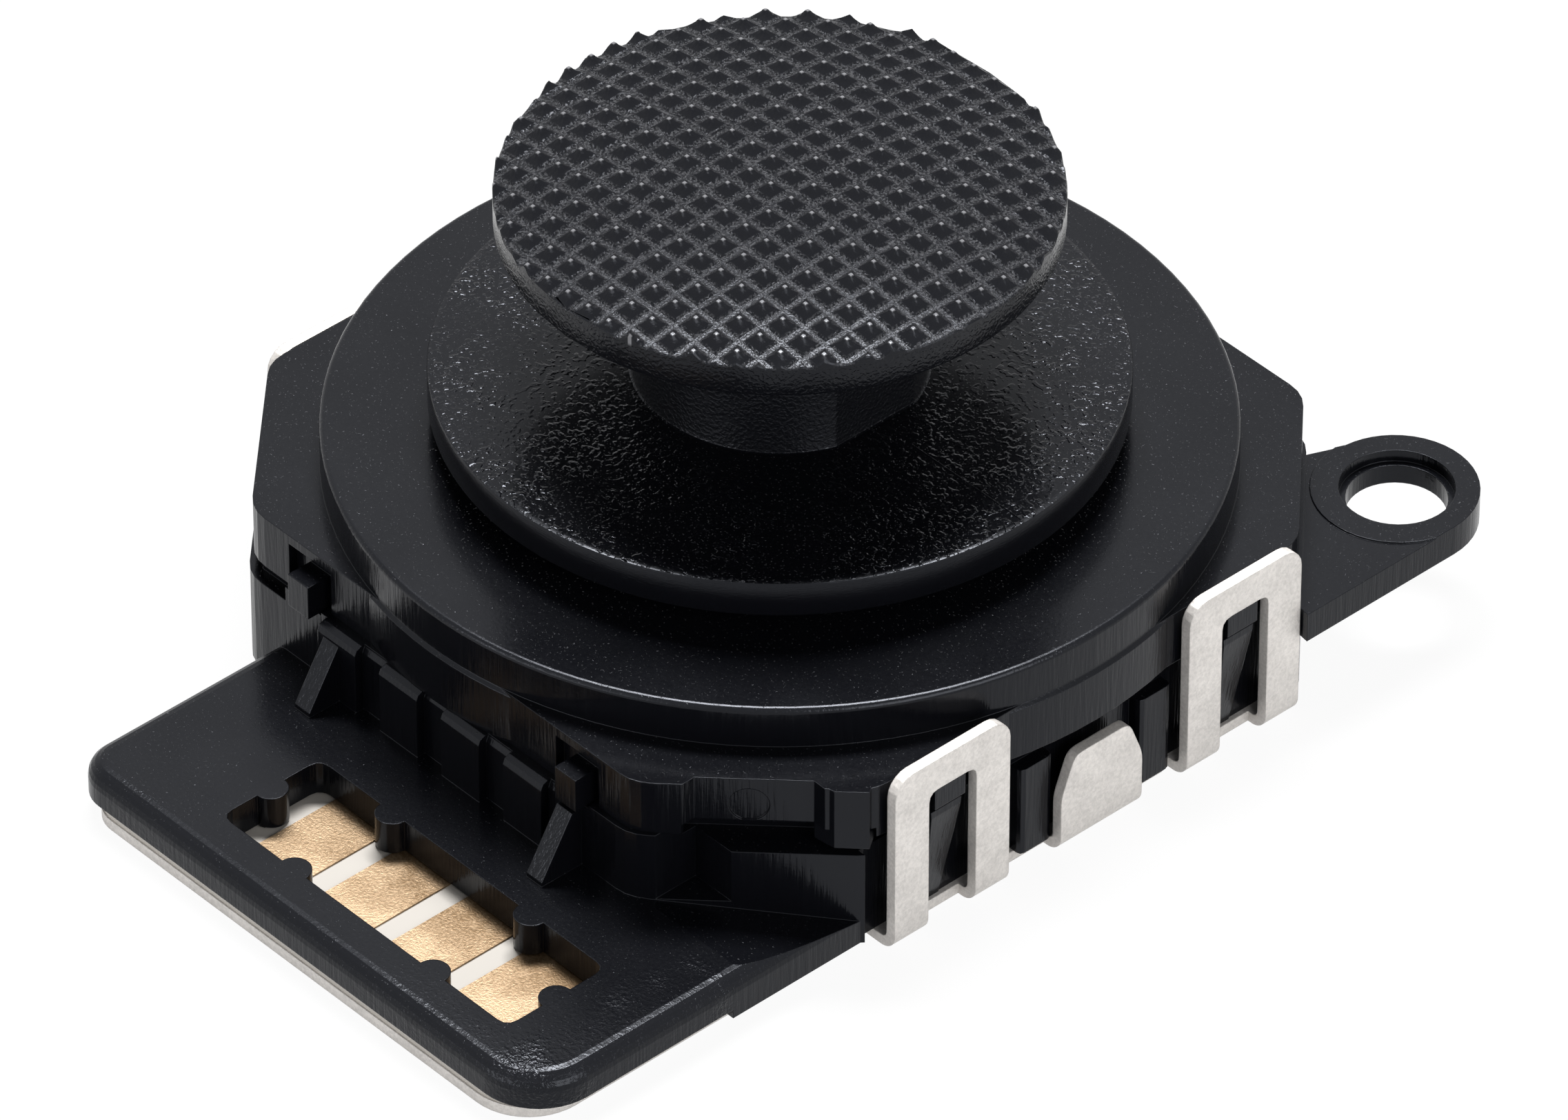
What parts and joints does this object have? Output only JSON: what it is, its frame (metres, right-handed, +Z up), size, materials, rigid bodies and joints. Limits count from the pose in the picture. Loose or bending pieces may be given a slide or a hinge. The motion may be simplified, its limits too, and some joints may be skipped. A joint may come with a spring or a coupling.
{
  "type": "thumbstick module",
  "caption": "Sliding thumbstick module with a knurled cap, a cover disc, a square case, a contact flange, a screw ear and a clipped steel base plate.",
  "frame": {"origin": "on the stick's axis, on the underside of the steel base plate", "axes": "+Z up along the stick, -Y towards the contact flange, +X towards the clip side next to the screw ear"},
  "size_m": [0.0234, 0.0318, 0.0142],
  "materials": {
    "black_cap": "fine grained, knurled top",
    "black_disc": "grained, half gloss",
    "black_case": "satin, as moulded",
    "pale_plastic": "slippery, as moulded",
    "steel": "matte stamped sheet",
    "spring_steel": "bright wire",
    "gold": "plated",
    "carbon": "printed carbon",
    "film": "smooth film"
  },
  "bodies": {
    "housing": {"upper_case": "black_case", "lower_case": "black_case", "base_plate": "steel", "circuit_film": "film", "x_track": "carbon", "y_track": "carbon", "x_collector": "gold", "y_collector": "gold", "contact_pad_1": "gold", "contact_pad_2": "gold", "contact_pad_3": "gold", "contact_pad_4": "gold", "x_spring": "spring_steel", "y_spring": "spring_steel"},
    "x_carriage": {"x_slider": "pale_plastic", "x_wiper": "gold"},
    "stick": {"thumb_cap": "black_cap", "cover_disc": "black_disc", "stick_post": "pale_plastic"},
    "y_carriage": {"y_slider": "pale_plastic", "y_wiper": "gold"}
  },
  "joints": [
    {"name": "x_slide", "type": "slide", "parent": "housing", "child": "x_carriage", "axis": [1, 0, 0], "range_m": [-0.0022, 0.0022], "stiffness_N_per_m": 150, "deforming": ["x_spring"]},
    {"name": "stick_slide", "type": "slide", "parent": "x_carriage", "child": "stick", "axis": [0, 1, 0], "range_m": [-0.0022, 0.0022], "stiffness_N_per_m": 150},
    {"name": "y_slide", "type": "slide", "parent": "housing", "child": "y_carriage", "axis": [0, 1, 0], "range_m": [-0.0022, 0.0022], "deforming": ["y_spring"]}
  ],
  "couplings": [
    {"joint": "y_slide", "follows": "stick_slide", "ratio": 1}
  ]
}
